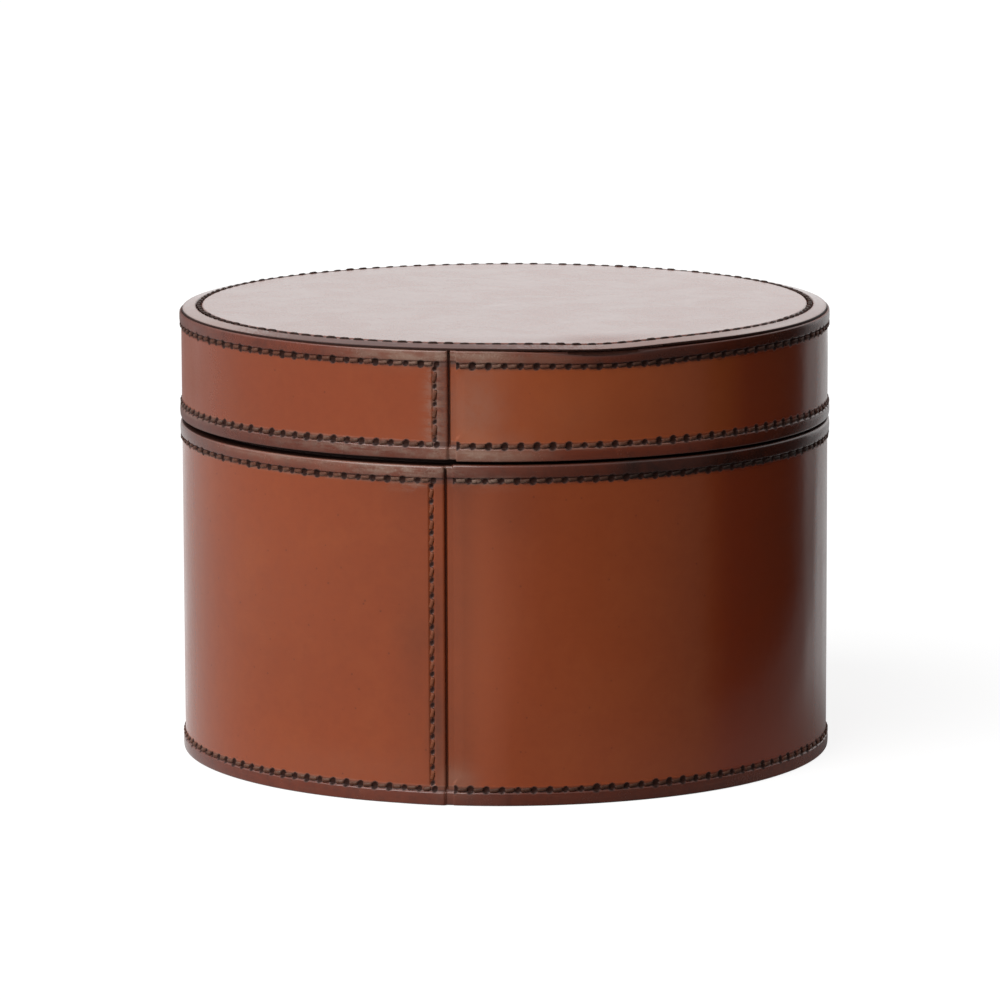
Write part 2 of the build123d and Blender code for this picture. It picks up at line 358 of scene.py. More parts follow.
def add_wrap(name, body, node, wrap, low_line, high_line, inner_line, panel_rows):
    """Builds a wrap. Its lines are (radius, height) points going up the outer face.

    inner_line goes from the top edge in, down and out to the bottom edge. A third value
    in a point is how much of the drift it has.
    """
    shell = Shell()
    t, strip = seam_columns()

    def outer(outline, tt):
        r0, z0, drifts = np.array([(*p, 1.0)[:3] for p in outline]).T[..., None]
        radius, masks = wrap.face(tt, z0, r0)
        radius = r0 + (radius - r0) * rise(r0, TURNED_IN, 1.9)
        z = z0 + wrap.shift(tt, z0) * drifts
        flat = np.stack(np.broadcast_arrays(tt, z0 + (MARGIN - r0), 0 * z), -1)
        return shell.add(on_side(tt, radius, z, wrap.seam), flat, masks)

    period = np.append(t[:-1], t[0] + TURN)
    low = closed(outer(low_line, t[:-1]))
    high = closed(outer(high_line, t[:-1]))
    shell.quads(low)
    shell.quads(high)

    # the strip over the seam, fine both ways
    z_low, z_high = low_line[-1][1], high_line[0][1]
    fine_rows = panel_rows * 7
    rows = z_low + (z_high - z_low) * np.arange(1, fine_rows) / fine_rows
    strip_t = t[strip:]
    middle = outer([(PANEL, z) for z in rows], strip_t)
    seam_grid = np.vstack([low[-1:, strip:], middle, high[:1, strip:]])
    shell.quads(seam_grid)

    # the rest of the panel, coarse both ways, joined round its edge
    coarse_t = t[COARSE:strip:COARSE]
    coarse_rows = z_low + (z_high - z_low) * np.arange(1, panel_rows) / panel_rows
    panel = outer([(PANEL, z) for z in coarse_rows], coarse_t)
    shell.quads(panel)

    def loop(bottom, right, top, left, ts, zs):
        """A border from its lower corner, and how far round each point is, from 0 to 4."""
        u = (ts - ts[0]) / (ts[-1] - ts[0])
        v = (zs - zs[0]) / (zs[-1] - zs[0])
        points = np.concatenate([bottom[:-1], right[:-1], top[:0:-1], left[::-1]])
        return points, np.concatenate([u[:-1], 1 + v[:-1], 3 - u[:0:-1], 4 - v[::-1]])

    end = strip + 1
    z_all = np.concatenate([[z_low], rows, [z_high]])
    shell.zip(
        *loop(low[-1, :end], seam_grid[:, 0], high[0, :end], seam_grid[:, -1], t[:end], z_all),
        *loop(panel[0], panel[:, -1], panel[-1], panel[:, 0], coarse_t, coarse_rows),
    )

    # the turned edge, the inner face and back
    inner_t = np.linspace(t[0], t[0] + TURN, 400)[:-1]
    inner = closed(outer(inner_line, inner_t))
    inner_at = np.append(inner_t, t[0] + TURN)
    shell.quads(inner)
    shell.zip(high[-1], period, inner[0], inner_at)
    shell.zip(inner[-1], inner_at, low[0], period)
    shell.build(name, body, node, "side_leather", side_leather, dye_and_shade, 0.66)


def arc_points(cr, cz, radius, start, end, steps):
    """(radius, height) points on an arc, angles in degrees from outwards to up."""
    a = np.radians(np.linspace(start, end, steps))
    return [(cr + radius * math.cos(x), cz + radius * math.sin(x)) for x in a]


def margin_points(start, end, crown):
    """Points up a margin that is slightly crowned."""
    n = max(round((end - start) / MARGIN_STEP), 2)
    z = np.linspace(start, end, n + 1)
    mid, half = (start + end) / 2, (end - start) / 2
    return [(MARGIN + crown * (1 - ((x - mid) / half) ** 2), x) for x in z]


def row_points(row, margin_below):
    """Points up across a row's channel, from the margin's radius to the panel's."""
    z = np.arange(-1.05, 1.81, 0.2) if margin_below else np.arange(-1.8, 1.06, 0.2)
    out = []
    for d in z:
        f = rise(d, -0.5, 1.0) if margin_below else 1 - rise(d, -0.5, 1.0)
        out.append((MARGIN * (1 - f) + PANEL * f, row + d))
    return out


# ---- lathe work
def turn_rings(rings, wobble, masks=None):
    """Joins rings of (radius, height, points) into a skin that starts and ends at a centre."""
    shell, before, centre = Shell(), None, None
    for r, z, n in rings:
        if r == 0:
            centre = shell.add(np.array([[0.0, 0.0, z]]))[0]
            if before is not None:
                shell.fan(before[0], centre)
            continue
        t = np.linspace(0, TURN, n + 1)[:-1]
        xyz = on_side(t, *wobble(t, r, z), 0)
        index = shell.add(xyz, xyz, None if masks is None else masks(t, r, z))
        loop, at = np.append(index, index[0]), np.append(t, TURN)
        if before is None:
            shell.fan(loop[::-1], centre)
        elif len(before[0]) == len(loop):
            shell.quads(np.stack([before[0], loop]))
        else:
            shell.zip(*before, loop, at)
        before = (loop, at)
    return shell


def lathe(name, body, node, material, outline, n=360, dark=None):
    """A closed ring turned from an outline that goes up its outer face."""
    shell = Shell()
    t = np.linspace(0, TURN, n + 1)[:-1]
    grid = []
    for r, z in outline:
        masks = np.zeros((t.size, len(MASKS)))
        masks[:, DARK] = 0 if dark is None else dark(r, z)
        flat = np.stack(np.broadcast_arrays(t, z, r), -1)
        grid.append(shell.add(on_side(t, r, z, 0), flat, masks))
    grid = np.array(grid + [grid[0]])
    shell.quads(closed(grid))
    shell.build(name, body, node, "lining", material)


# ---- stitches
def thread_tubes(rng, us, vs, lean, lengths, lift):
    """Two-ply stitches round (u, v) on a flat sheet: (u, v, height) points of each, and faces.

    Both ends of a stitch dive into its holes, and grow thinner there.
    """
    rings, sides = 15, 12
    x = np.linspace(-1, 1, rings)
    around = np.linspace(0, 2 * math.pi, sides, endpoint=False)
    dive = np.clip((np.abs(x) - 0.48) / 0.45, 0, 1) ** 1.5
    fat = THREAD * (1 - 0.25 * dive)
    out, faces = [], []
    sunk = np.repeat(rise(np.abs(x), 0.52, 0.22)[:, None], sides, 1)
    n = len(us)
    lifts = lift + rng.normal(0, 0.06, n)
    for k in range(n):
        half = lengths[k] / 2
        twist = 2.2 * x * half + rng.uniform(0, math.pi)
        ply = 0.88 + 0.12 * np.abs(np.cos(around[None, :] - twist[:, None])) ** 0.7
        r = fat[:, None] * ply * rng.uniform(0.93, 1.06)
        sway = rng.normal(0, 0.05) * (1 - x**2) + rng.normal(0, 0.03) * x
        height = lifts[k] + 0.12 * (1 - x**2) - 1.1 * dive
        along = (half * x * (1 - 0.1 * dive))[:, None] + 0 * r
        across = sway[:, None] + 1.35 * r * np.cos(around)
        up = height[:, None] + 0.72 * r * np.sin(around)
        a = math.radians(lean) + rng.normal(0, math.radians(2.5))
        u = us[k] + along * math.cos(a) - across * math.sin(a)
        v = vs[k] + along * math.sin(a) + across * math.cos(a)
        out.append(np.stack([u, v, up], -1))
    points = np.array(out)
    per = rings * sides
    quad = np.array(grid_faces(closed(np.arange(per).reshape(rings, sides))))
    caps = np.array([np.arange(sides)[::-1], per - sides + np.arange(sides)])
    for k in range(n):
        faces += (quad + k * per).tolist() + (caps + k * per).tolist()
    return points, faces, np.broadcast_to(sunk, points.shape[:3])


def add_thread(body, node, tubes, mapping, tone, wear=None, red=0.0):
    """Lays stitches on their leather. The thread's dark mask is painted shade where it is sunk."""
    points, faces, sunk = tubes
    masks = np.zeros(points.shape[:3] + (len(MASKS),))
    masks[..., DARK] = sunk
    u, v, h = np.moveaxis(points, -1, 0)
    # painted shade on the thread
    masks[..., PAINTED_SHADE] = tone(u)
    masks[..., RED] = red
    if wear is not None:
        masks[..., WEAR] = wear(u, v)
    shell = Shell()
    shell.add(mapping(u, v, h), points, masks)
    shell.faces = faces
    shell.build(node.replace("_thread", "_stitches"), body, node, "thread", thread)


def row_thread(body, node, wrap, which, shade, seed):
    """The stitches of a row round the side."""
    rng = np.random.default_rng(seed)
    t = ROW_START + PITCH * np.arange(STITCHES)
    row, line = (wrap.low_row, wrap.low_tone) if which == "low" else (wrap.high_row, wrap.high_tone)
    us, vs = (x + rng.normal(0, 0.05, t.size) for x in (t, row))
    lengths = PITCH * STITCH_PART + rng.normal(0, 0.06, t.size)
    lengths[-1] *= 0.85
    tubes = thread_tubes(rng, us, vs, 7, lengths, 0.1)

    def mapping(u, v, h):
        radius = MARGIN - CHANNEL + wrap.lap(np.minimum(u, TURN)) + h
        return on_side(u, radius, v + wrap.shift(u, row), wrap.seam)

    # painted shade: the thread darkens with its row's painted shade, on top of its own share
    def tone(t):
        return shade + (1 - shade) * np.clip(1.3 * line(t), 0, 1)

    add_thread(body, node, tubes, mapping, tone, lambda u, v: wrap.spot("wear", u, v))


def seam_thread(body, node, wrap, shade, red, seed):
    """The stitches of an upright seam."""
    rng = np.random.default_rng(seed)
    z = wrap.seam_stitches
    arc = TURN - SEAM_ROW
    lengths = np.full(z.size, wrap.seam_step * STITCH_PART)
    tubes = thread_tubes(rng, arc + rng.normal(0, 0.04, z.size), z, 75, lengths, 0.1)
    floor = PANEL + float(wrap.lap(np.array(arc))) - UPRIGHT_DEPTH

    def mapping(u, v, h):
        return on_side(u, floor + h, v + wrap.shift(u, v), wrap.seam)

    add_thread(body, node, tubes, mapping, lambda t: shade, red=red)


def front_dip(t):
    """How far the top leather's edge sinks right of the front."""
    return 0.75 * bell(short_way(t), 31, 18)


def ring_thread(body, node, radius, count, surface, up, seed):
    """The stitches of a ring on a disc. They point up where up is 1, and down where it is -1."""
    rng = np.random.default_rng(seed)
    pitch = 2 * math.pi * radius / count
    t = pitch * (np.arange(count) + 0.5)
    vs = rng.normal(0, 0.05, count)
    lengths = pitch * STITCH_PART + rng.normal(0, 0.06, count)
    tubes = thread_tubes(rng, t, vs, 8, lengths, 0.48 if up > 0 else 0.46)

    def mapping(u, v, h):
        a = u / radius - math.pi / 2
        r = radius - v * up
        sunk = front_dip(u * PANEL / radius) if up > 0 else 0 * u
        return np.stack([r * np.cos(a), r * np.sin(a), surface - sunk + up * h], -1)

    add_thread(body, node, tubes, mapping, lambda t: 0.92)


# ---- materials
class Nodes:
    """Short ways to add shader nodes to a material, or to a world."""

    def __init__(self, owner, shader="BsdfPrincipled", output="OutputMaterial"):
        self.owner = owner
        owner.use_nodes = True
        self.tree = owner.node_tree
        self.tree.nodes.clear()
        self.shader = self.add(shader)
        self.add(output, {"Surface": self.shader.outputs[0]})

    def add(self, kind, inputs=None, **settings):
        """Adds a node. Its inputs are given by name or number, as values or as sockets to join."""
        node = self.tree.nodes.new("ShaderNode" + kind)
        for key, value in settings.items():
            setattr(node, key, value)
        for key, value in (inputs or {}).items():
            self.put(node.inputs[key], value)
        return node

    def put(self, socket, value):
        if isinstance(value, bpy.types.NodeSocket):
            self.tree.links.new(value, socket)
        elif isinstance(value, tuple) and len(value) == 3 and socket.type == "RGBA":
            socket.default_value = (*value, 1)
        else:
            socket.default_value = value

    def mask(self, name):
        return self.add("Attribute", attribute_name=name).outputs["Fac"]

    def flat(self):
        """Where a point lies on the flat leather, in millimetres."""
        return self.add("Attribute", attribute_name="flat").outputs["Vector"]

    def coords(self):
        return self.add("TexCoord").outputs["Object"]

    def solid(self):
        """Where a point is in space, in millimetres."""
        return self.scaled(self.coords(), (1 / MM, 1 / MM, 1 / MM))

    def rays(self, *kinds):
        outputs = self.add("LightPath").outputs
        return [outputs["Is %s Ray" % kind] for kind in kinds]

    def scaled(self, vector, scale):
        inputs = {0: vector, 1: scale}
        return self.add("VectorMath", inputs, operation="MULTIPLY").outputs[0]

    def noise(self, vector, scale, detail=3.0, rough=0.6, distort=0.0):
        inputs = {"Vector": vector, "Scale": scale, "Detail": detail, "Roughness": rough}
        return self.add("TexNoise", {**inputs, "Distortion": distort}).outputs["Fac"]

    def cells(self, vector, scale, feature="F1"):
        inputs = {"Vector": vector, "Scale": scale}
        return self.add("TexVoronoi", inputs, feature=feature).outputs["Distance"]

    def ramp(self, value, low, high, to_low=0.0, to_high=1.0):
        inputs = dict(enumerate((value, low, high, to_low, to_high)))
        settings = {"clamp": True, "interpolation_type": "SMOOTHSTEP"}
        return self.add("MapRange", inputs, **settings).outputs[0]

    def math(self, operation, *values, clamp=False):
        inputs = dict(enumerate(values))
        return self.add("Math", inputs, operation=operation, use_clamp=clamp).outputs[0]

    def times(self, a, b):
        return self.math("MULTIPLY", a, b)

    def plus(self, a, b):
        return self.math("ADD", a, b)

    def mix(self, factor, a, b):
        return self.add("Mix", {0: factor, 6: a, 7: b}, data_type="RGBA").outputs[2]

    def coats(self, colour, *coats):
        """Lays coats on a colour. Each is a factor and its own colour."""
        for factor, coat in coats:
            colour = self.mix(factor, colour, coat)
        return colour

    def bump(self, height, strength, distance, normal=None):
        inputs = {"Height": height, "Strength": strength, "Distance": distance}
        if normal is not None:
            inputs["Normal"] = normal
        return self.add("Bump", inputs).outputs[0]

    def finish(self, **inputs):
        for key, value in inputs.items():
            self.put(self.shader.inputs[key.replace("_", " ")], value)
        return self.owner


def new_material(name):
    return Nodes(bpy.data.materials.new(name))


def leather(name, coat, roughness, deep):
    """Waxed and burnished tan leather. The deep kind is that of the discs."""
    m = new_material(name)
    flat, solid = m.flat(), m.solid()
    broad = m.noise(solid, 0.016, 3.0, 0.5)
    patch = m.noise(solid, 0.055, 4.0, 0.6, 0.6)
    mottle = m.noise(solid, 0.32, 4.0, 0.65)
    fine = m.noise(solid, 1.5)
    long_grain = m.noise(m.scaled(flat, (0.1, 1.5, 1.0)), 1.0)
    pores = m.cells(solid, 0.9)
    grain = m.cells(solid, 1.7, "SMOOTH_F1")
    specks = m.ramp(m.cells(solid, 0.22), 0.035, 0.1, 1.0, 0.0)

    tan = m.coats(
        (0.285, 0.0525, 0.0105),
        (m.ramp(broad, 0.32, 0.68), (0.258, 0.0475, 0.0095)),
        (m.ramp(patch, 0.4, 0.72, 0.0, 0.45), (0.305, 0.064, 0.0145)),
        (m.ramp(mottle, 0.35, 0.75, 0.0, 0.22), (0.205, 0.035, 0.007)),
        (m.ramp(long_grain, 0.55, 0.8, 0.0, 0.05 if deep else 0.16), (0.33, 0.082, 0.022)),
        (m.times(specks, 0.55), (0.105, 0.02, 0.006)),
    )
    if deep:
        tan = m.mix(0.6, tan, (0.15, 0.03, 0.011))
    else:
        # painted light: lighter, more orange patches on the panels
        lift, red = (0.4, 0.09, 0.023), (0.255, 0.033, 0.0095)
        tan = m.coats(tan, (m.mask("lift"), lift), (m.mask("red"), red))

    # the burnished margins, with a ragged border
    rubbed = m.coats(
        (0.134, 0.0215, 0.0064),
        (m.ramp(patch, 0.35, 0.7), (0.164, 0.031, 0.0115)),
        (m.ramp(mottle, 0.4, 0.75, 0.0, 0.55), (0.068, 0.013, 0.0055)),
        (m.ramp(long_grain, 0.5, 0.8, 0.0, 0.35), (0.18, 0.062, 0.036)),
    )
    ragged = m.plus(m.mask("burnish"), m.ramp(fine, 0.2, 0.8, -0.25, 0.25))
    burnish = m.ramp(ragged, 0.25, 0.75)

    # painted shade, darker where less light falls; scuffs; rubbed pale places and painted
    # highlights; and holes, channels and gaps darkened as painted shade, with dye on the edges
    tone = m.mask("tone")
    tone = m.plus(tone, m.times(tone, m.ramp(patch, 0.3, 0.7, -0.25, 0.25)))
    streaks = m.noise(m.scaled(flat, (0.16, 0.55, 1.0)), 1.0, 4.0)
    rough_spots = m.times(m.ramp(streaks, 0.38, 0.6, 0.15, 1.0), m.ramp(mottle, 0.3, 0.6, 0.7, 1.0))
    scuffs = m.times(m.ramp(fine, 0.5, 0.64), m.ramp(mottle, 0.38, 0.55))
    scuffed = m.math("ADD", m.times(rough_spots, 0.8), m.times(scuffs, 0.4), clamp=True)
    wear = m.times(m.mask("wear"), scuffed)
    pale = m.times(m.mask("pale"), m.ramp(mottle, 0.3, 0.6, 0.7, 1.0))
    dark = m.mask("dark")
    colour = m.coats(
        tan,
        (burnish, rubbed),
        (tone, (0.023, 0.0065, 0.004)),
        (m.times(wear, 0.78), (0.31, 0.225, 0.175)),
        (pale, (0.33, 0.185, 0.13)),
        (m.ramp(dark, 0.1, 0.95, 0.0, 0.96), (0.017, 0.0042, 0.0024)),
    )

    rough = m.ramp(patch, 0.3, 0.7, roughness - 0.03, roughness + 0.03)
    for mask, size in ((burnish, 0.05), (dark, 0.55), (m.mask("matt"), 0.3)):
        rough = m.plus(rough, m.times(mask, size))
    rough = m.plus(rough, m.ramp(fine, 0.3, 0.7, -0.02, 0.03))

    normal = m.bump(m.noise(solid, 0.1, 2.0, 0.5), 0.25, 0.0002)
    if not deep:
        normal = m.bump(mottle, 0.3, 0.00012, normal)
    normal = m.bump(m.ramp(pores, 0.0, 0.45), 0.03 if deep else 0.18, 0.00003, normal)
    normal = m.bump(grain, 0.02 if deep else 0.16, 0.00004, normal)
    normal = m.bump(long_grain, 0.015 if deep else 0.12, 0.00005, normal)
    return m.finish(
        Base_Color=colour, Roughness=rough, Normal=normal, IOR=1.5,
        Coat_Weight=coat, Coat_Roughness=0.12, Coat_IOR=1.5,
    )


def dye_and_painted_shade():
    """Dark dye, waxed, on a cut edge; also laid as painted shade in stitch holes and in the gap
    between lid and body.
    """
    m = new_material("dye_and_painted_shade")
    streaks = m.noise(m.scaled(m.solid(), (0.8, 0.8, 4.0)), 1.0)
    return m.finish(
        Base_Color=m.mix(m.ramp(streaks, 0.35, 0.7), (0.015, 0.004, 0.0022), (0.032, 0.01, 0.0058)),
        Roughness=m.ramp(streaks, 0.3, 0.7, 0.62, 0.5),
        Normal=m.bump(streaks, 0.3, 0.00005),
        Specular_IOR_Level=0.12,
    )


def waxed_thread():
    m = new_material("waxed_thread")
    flat = m.flat()
    fibres = m.noise(m.scaled(flat, (1.6, 5.0, 5.0)), 1.0)
    wax_and_highlight = m.noise(flat, 0.9)
    worn = m.math("MULTIPLY", m.mask("wear"), m.ramp(wax_and_highlight, 0.3, 0.55), clamp=True)
    colour = m.coats(
        (0.088, 0.027, 0.014),
        (m.ramp(fibres, 0.3, 0.7), (0.155, 0.056, 0.032)),
        # painted highlight: lighter grey-brown patches of the waxed thread, where it would catch
        # the light
        (m.ramp(wax_and_highlight, 0.5, 0.75, 0.0, 0.45), (0.215, 0.115, 0.075)),
        (m.mask("red"), (0.2, 0.056, 0.023)),
        # painted shade on the thread
        (m.mask("tone"), (0.016, 0.007, 0.0042)),
        (m.times(worn, 0.8), (0.29, 0.205, 0.16)),
        # painted shade: the thread goes near black where it is sunk in its holes
        (m.ramp(m.mask("dark"), 0.1, 0.9, 0.0, 0.9), (0.016, 0.0042, 0.0024)),
    )
    return m.finish(
        Base_Color=colour,
        Roughness=m.ramp(wax_and_highlight, 0.3, 0.7, 0.66, 0.52),
        Normal=m.bump(fibres, 0.35, 0.00008),
        Specular_IOR_Level=0.18,
    )


def suede():
    m = new_material("lining_suede")
    dark, light = (0.11, 0.052, 0.028), (0.15, 0.075, 0.042)
    solid = m.solid()
    nap = m.noise(solid, 2.6, 4.0, 0.7)
    brushed = m.noise(solid, 0.05, 3.0, 0.6, 1.2)
    cloud = m.noise(solid, 0.2)
    colour = m.coats(
        dark,
        (m.ramp(brushed, 0.4, 0.62), light),
        (m.ramp(nap, 0.3, 0.7, 0.0, 0.45), tuple(c * 0.55 for c in dark)),
        (m.ramp(cloud, 0.5, 0.75, 0.0, 0.3), tuple(c * 1.25 for c in light)),
    )
    return m.finish(
        Base_Color=colour,
        Roughness=m.ramp(brushed, 0.3, 0.7, 0.82, 0.95),
        Normal=m.bump(nap, 0.5, 0.00012),
        Sheen_Weight=0.35,
        Sheen_Roughness=0.4,
        Specular_IOR_Level=0.25,
    )


def wood():
    m = new_material("hoop_wood")
    solid = m.solid()
    rings = m.noise(m.scaled(solid, (0.012, 0.16, 0.16)), 1.0, 4.0, 0.6, 0.8)
    fibre = m.noise(m.scaled(solid, (0.05, 1.8, 1.8)), 1.0)
    colour = m.mix(m.ramp(rings, 0.35, 0.65), (0.43, 0.29, 0.165), (0.33, 0.2, 0.105))
    return m.finish(
        Base_Color=m.mix(m.ramp(fibre, 0.4, 0.75, 0.0, 0.4), colour, (0.22, 0.125, 0.062)),
        Roughness=m.ramp(fibre, 0.3, 0.7, 0.5, 0.68),
        Normal=m.bump(fibre, 0.3, 0.0001),
    )


side_leather = leather("side_leather", 0.0, 0.185, False)
top_leather = leather("top_leather", 0.62, 0.26, True)
border_leather = leather("border_leather", 0.0, 0.28, True)
dye_and_shade = dye_and_painted_shade()
thread = waxed_thread()
lining = suede()
timber = wood()

for node in ("body_core_hoop", "base_board", "collar_hoop", "lid_top_board", "lid_core_hoop"):
    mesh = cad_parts[node].data
    mesh.materials.clear()
    mesh.materials.append(timber)

# ---- the two side leathers
QUIET = [waves(s, 0.07, 1, 5) for s in range(31, 35)]


def along(seam, stops):
    """A smooth line through (degrees from the front, value) stops, as a function of the arc."""
    degrees, values = np.array(stops, float).T
    next_degrees = np.append(degrees[1:], degrees[0] + 360)
    next_values = np.append(values[1:], values[0])

    def line(t):
        a = (np.degrees(np.asarray(t, float) / PANEL) + seam + 180) % 360 - 180
        a = np.where(a < degrees[0], a + 360, a)
        k = np.clip(np.searchsorted(degrees, a, "right") - 1, 0, len(degrees) - 1)
        f = (a - degrees[k]) / (next_degrees[k] - degrees[k])
        return values[k] + (next_values[k] - values[k]) * rise(f)

    return line


def still(t):
    return 0.0 * np.asarray(t, float)


def ramp_line(right_end, left_end, ripple, extra=still):
    """A drift that goes from one value right of the seam to another left of it."""

    def line(t):
        f = np.clip(t, 0, TURN) / TURN
        return right_end + (left_end - right_end) * rise(f, 0.45, 0.5) + ripple(t) + extra(t)

    return line


def top_edge(t):
    """The lid wrap's top edge stands up round the top leather, except right of the front."""
    dip = bell(t, 47, 20) + 0.2 * bell(t, 85, 22)
    level = 0.22 + 0.05 * rise(t / TURN, 0.8, 0.2) + 0.08 * waves(77, 1.0, 2, 9)(t)
    return level - 1.6 * dip


# Both are made from their edges and rows, the seam, how far these lines drift, where the
# groove fades, how burnished the strip beside the seam is, where the rim is painted dark as shade
# in the gap between lid and body, the painted shade along the lower margin, the upper margin and
# the panel, its redness, and the spots of wear, painted light and painted shade.
BODY = Wrap(
    (0.0, FOOT_ROW, BODY_ROW, BODY_TOP), BODY_SEAM,
    [
        still, QUIET[0], ramp_line(0.0, 0.05, QUIET[1]),
        ramp_line(-0.1, -0.5, lambda t: -np.abs(QUIET[2](t))),
    ],
    [(FOOT_ROW - 0.6, 1.2), (BODY_TOP - 0.7, 1.4)],
    0.22, (BODY_TOP, MARGIN - 0.3),
    [
        [
            (-90, 0.1), (-60, 0.05), (-20, 0.12), (-5, 0.35), (20, 0.45), (45, 0.25), (60, 0.0),
            (110, 0.0), (180, 0.1),
        ],
        [
            (-130, 0.2), (-105, 0.2), (-90, 0.6), (-70, 0.3), (-50, 0.0), (-16, 0.0), (-9, 0.25),
            (15, 0.5), (25, 0.9), (60, 0.78), (80, 0.2), (110, 0.3), (180, 0.2),
        ],
        [
            (-90, 0.05), (-50, 0.0), (-22, 0.03), (-16, 0.12), (-12, 0.13), (-8, 0.27), (-3, 0.06),
            (30, 0.02), (36, 0.03), (44, 0.14), (62, 0.1), (90, 0.0),
        ],
        [
            (-90, 0.0), (-20, 0.05), (0, 0.1), (34, 0.1), (44, 0.75), (60, 0.65), (75, 0.1),
            (130, 0.0),
        ],
    ],
    {
        # painted light: lighter patches on the panel
        "lift": [(9, 58, 12, 60, 0.36), (50, 58, 34, 60, 0.16)],
        "pale": [
            (-70, 64, 42, 30, 0.05), (10, 55, 9, 34, 0.04), (-45, 101.5, 50, 3, 0.18),
            (-2.4, 14, 2.2, 16, 0.09), (3, 7.5, 6, 4.5, 0.34), (-32, 9, 36, 6, 0.07),
        ],
        "tone": [
            (-55, 28, 30, 16, 0.05), (19, 91, 11, 11, 0.12), (-2.4, 32, 2.4, 40, 0.4),
            (-8, 45, 6, 16, 0.14), (2, 97, 24, 6, 0.15),
        ],
        "wear": [
            (-14, 101.0, 18, 2.2, 1.0), (-55, 102.0, 26, 1.0, 0.6), (-10, 97.0, 6, 1.0, 0.8),
            (12, 98.0, 10, 1.4, 0.7), (-60, 5.6, 60, 0.5, 0.5), (-60, 97.2, 60, 0.5, 0.5),
        ],
    },
    5,
)
LID = Wrap(
    (LID_EDGE, LID_ROW, SHOULDER_ROW, SHOULDER), LID_SEAM,
    [
        ramp_line(0.25, 0.75, lambda t: np.abs(QUIET[3](t))),
        ramp_line(0.0, 0.35, QUIET[0]),
        ramp_line(-0.05, 0.5, QUIET[1], lambda t: -0.7 * bell(t, 52, 22)),
        top_edge,
    ],
    [(LID_ROW - 1.2, 1.6), (SHOULDER + 1.0, 0.4)],
    0.65, (LID_EDGE, MARGIN - 0.02),
    [
        [
            (-130, 0.2), (-105, 0.2), (-90, 0.65), (-70, 0.4), (-50, 0.3), (-20, 0.2), (-6, 0.0),
            (25, 0.05), (45, 0.25), (60, 0.35), (80, 0.1), (110, 0.3), (180, 0.2),
        ],
        [
            (-130, 0.2), (-105, 0.2), (-90, 0.6), (-70, 0.25), (-50, 0.05), (-16, 0.0), (7, 0.0),
            (16, 0.3), (26, 0.58), (50, 0.5), (60, 0.6), (75, 0.0), (110, 0.3), (180, 0.2),
        ],
        [
            (-140, 0.0), (-112, 0.06), (-88, 0.4), (-74, 0.24), (-58, 0.13), (-40, 0.1),
            (-25, 0.04), (-12, 0.02), (10, 0.0), (40, 0.02), (48, 0.08), (60, 0.06), (90, 0.0),
        ],
        [
            (-90, 0.0), (-60, 0.15), (-12, 0.1), (-8, 0.0), (10, 0.0), (40, 0.1), (48, 0.7),
            (60, 0.6), (75, 0.1), (130, 0.0),
        ],
    ],
    {
        # dark spots: the wrap's top edge where it dips below the top leather, partly edge dye and
        # partly painted shade under the top leather's edge, and a dark line along the lower side of
        # the rim row near the front
        "dark": [(47, 136.6, 22, 1.0, 0.95), (12, LID_ROW - 0.55, 13, 0.4, 0.8)],
        # painted light: lighter patches on the panel
        "lift": [(8, 109, 8, 6, 0.75), (66, 120, 66, 40, 0.42)],
        "matt": [(-124, 120, 30, 60, 1.0)],
        # pale spots: rubbed wear, and painted highlights on the lid's front and on its top lip near
        # the seam
        "pale": [
            (8, 118, 9, 13, 0.33), (10, 110.5, 16, 3, 0.22), (-14, 136.5, 14, 0.35, 0.5),
            (34, 114, 14, 14, 0.06), (-12, 134.6, 16, 2.4, 0.42), (12, 134.5, 12, 2.4, 0.48),
            (28, 134.5, 12, 2.4, 0.32), (12, 105.4, 16, 2.4, 0.55),
        ],
        "tone": [(58, 115, 22, 6, 0.08), (-1.7, 120, 1.8, 40, 0.22)],
        "wear": [
            (-8, 134.6, 20, 2.2, 1.0), (10, 134.5, 9, 2.6, 0.9), (8, 105.2, 12, 2.4, 1.0),
            (-26, 106.0, 30, 2.0, 0.55), (-3.9, 120, 2.6, 40, 0.7), (-110, 107.0, 40, 0.7, 0.4),
            (-60, 109.1, 60, 0.5, 0.5), (50, 107.4, 45, 0.5, 0.5),
        ],
    },
    9,
)

body_low = arc_points(MARGIN - 0.5, 0.5, 0.5, -90, 0, 5)[:-1]
body_low += margin_points(0.5, FOOT_ROW - 1.25, 0.08) + row_points(FOOT_ROW, True)
body_high = row_points(BODY_ROW, False) + margin_points(BODY_ROW + 1.25, BODY_TOP - 0.8, 0.1)
body_high += arc_points(MARGIN - 0.8, BODY_TOP - 0.8, 0.8, 0, 90, 7)[1:]
body_inner = [(r, BODY_TOP) for r in (98.9, 97.4, 95.6)]
body_inner += arc_points(95.05, BODY_TOP - 0.4, 0.4, 90, 180, 4)
body_inner += [(r, BODY_TOP - 1.6) for r in (94.65, 96.5, WRAP_IN)]
body_inner += [(WRAP_IN, 50.0), (WRAP_IN, 0.4), (98.8, 0.0)]
add_wrap("body_wrap_dressed", "box", "body_side_wrap", BODY, body_low, body_high, body_inner, 38)

